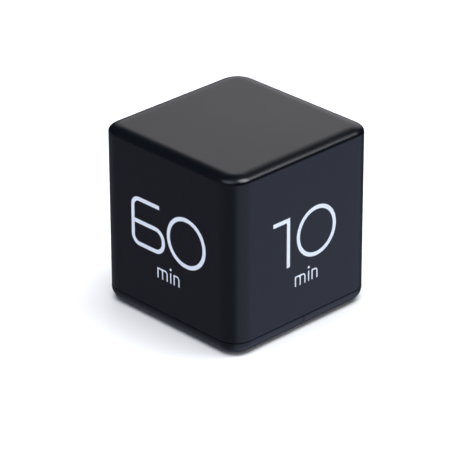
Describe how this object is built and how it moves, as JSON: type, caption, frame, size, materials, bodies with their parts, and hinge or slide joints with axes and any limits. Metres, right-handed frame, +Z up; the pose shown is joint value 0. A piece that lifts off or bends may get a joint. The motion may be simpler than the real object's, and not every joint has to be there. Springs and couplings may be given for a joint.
{
  "type": "kitchen timer",
  "caption": "Cube kitchen timer that starts when a numbered face is turned up, with a display, slide switches, an alarm lamp and a sliding battery door in its base.",
  "frame": {"origin": "centre of the base, on the surface that the cube stands on", "axes": "+Z up through the blank top, -Y out of the face for 60 minutes, +X out of the face for 10 minutes"},
  "size_m": [0.0648, 0.0648, 0.0648],
  "materials": {
    "shell_black": "satin black moulded plastic with a very fine grain",
    "window_clear": "smoke-tinted clear acrylic, polished",
    "foam_black": "soft matte foam",
    "display_glass": "grey-green display glass",
    "inner_plastic": "plain matte moulding",
    "strip_rubber": "layered conductive rubber",
    "board_green": "green solder mask over glass fibre",
    "epoxy_black": "black epoxy or moulded component plastic",
    "lamp_red": "clear red epoxy",
    "cell_jacket": "printed shrink jacket with plain bands",
    "nickel": "nickel plate",
    "steel": "bright zinc or polished steel",
    "wire_red": "PVC insulation",
    "wire_black": "PVC insulation",
    "grip_plastic": "dark grey moulded plastic"
  },
  "bodies": {
    "case": {"alarm_lamp": "lamp_red", "alarm_lamp_lead_1": "nickel", "alarm_lamp_lead_2": "nickel", "battery_cell_1": "cell_jacket", "battery_cell_2": "cell_jacket", "battery_wire_black": "wire_black", "battery_wire_red": "wire_red", "board_screw_1": "steel", "board_screw_2": "steel", "board_screw_3": "steel", "board_screw_4": "steel", "bridge_contact": "nickel", "bridge_spring": "nickel", "buzzer": "epoxy_black", "chip_cover": "epoxy_black", "connector_strip_front": "strip_rubber", "connector_strip_rear": "strip_rubber", "display_window": "window_clear", "end_cap": "shell_black", "end_cap_screw_1": "steel", "end_cap_screw_2": "steel", "lcd_front_glass": "display_glass", "lcd_holder": "inner_plastic", "lcd_rear_glass": "display_glass", "main_board": "board_green", "negative_contact": "nickel", "negative_spring": "nickel", "outer_shell": "shell_black", "positive_contact": "nickel", "power_switch_body": "nickel", "quartz_crystal": "nickel", "smoothing_capacitor": "epoxy_black", "tilt_switch_a_can": "nickel", "tilt_switch_a_plug": "epoxy_black", "tilt_switch_b_can": "nickel", "tilt_switch_b_plug": "epoxy_black", "tilt_switch_c_can": "nickel", "tilt_switch_c_plug": "epoxy_black", "volume_switch_body": "nickel", "window_gasket": "foam_black"},
    "battery_door": {"battery_door": "shell_black"},
    "power_switch": {"power_switch_grip": "grip_plastic", "power_switch_lever": "epoxy_black"},
    "volume_switch": {"volume_switch_grip": "grip_plastic", "volume_switch_lever": "epoxy_black"},
    "tilt_ball_a": {"tilt_switch_a_ball": "steel"},
    "tilt_ball_b": {"tilt_switch_b_ball": "steel"},
    "tilt_ball_c": {"tilt_switch_c_ball": "steel"}
  },
  "joints": [
    {"name": "door_slide", "type": "slide", "parent": "case", "child": "battery_door", "axis": [0, 1, 0], "range_m": [0, 0.04]},
    {"name": "power_switch_slide", "type": "slide", "parent": "case", "child": "power_switch", "axis": [-1, 0, 0], "range_m": [0, 0.002]},
    {"name": "volume_switch_slide", "type": "slide", "parent": "case", "child": "volume_switch", "axis": [-1, 0, 0], "range_m": [0, 0.002]},
    {"name": "tilt_ball_a_roll", "type": "slide", "parent": "case", "child": "tilt_ball_a", "axis": [0.7071, 0.7071, 0], "range_m": [0, 0.0037]},
    {"name": "tilt_ball_b_roll", "type": "slide", "parent": "case", "child": "tilt_ball_b", "axis": [-0.7071, 0.7071, 0], "range_m": [0, 0.0037]},
    {"name": "tilt_ball_c_roll", "type": "slide", "parent": "case", "child": "tilt_ball_c", "axis": [0, 0, 1], "range_m": [0, 0.0037]}
  ]
}
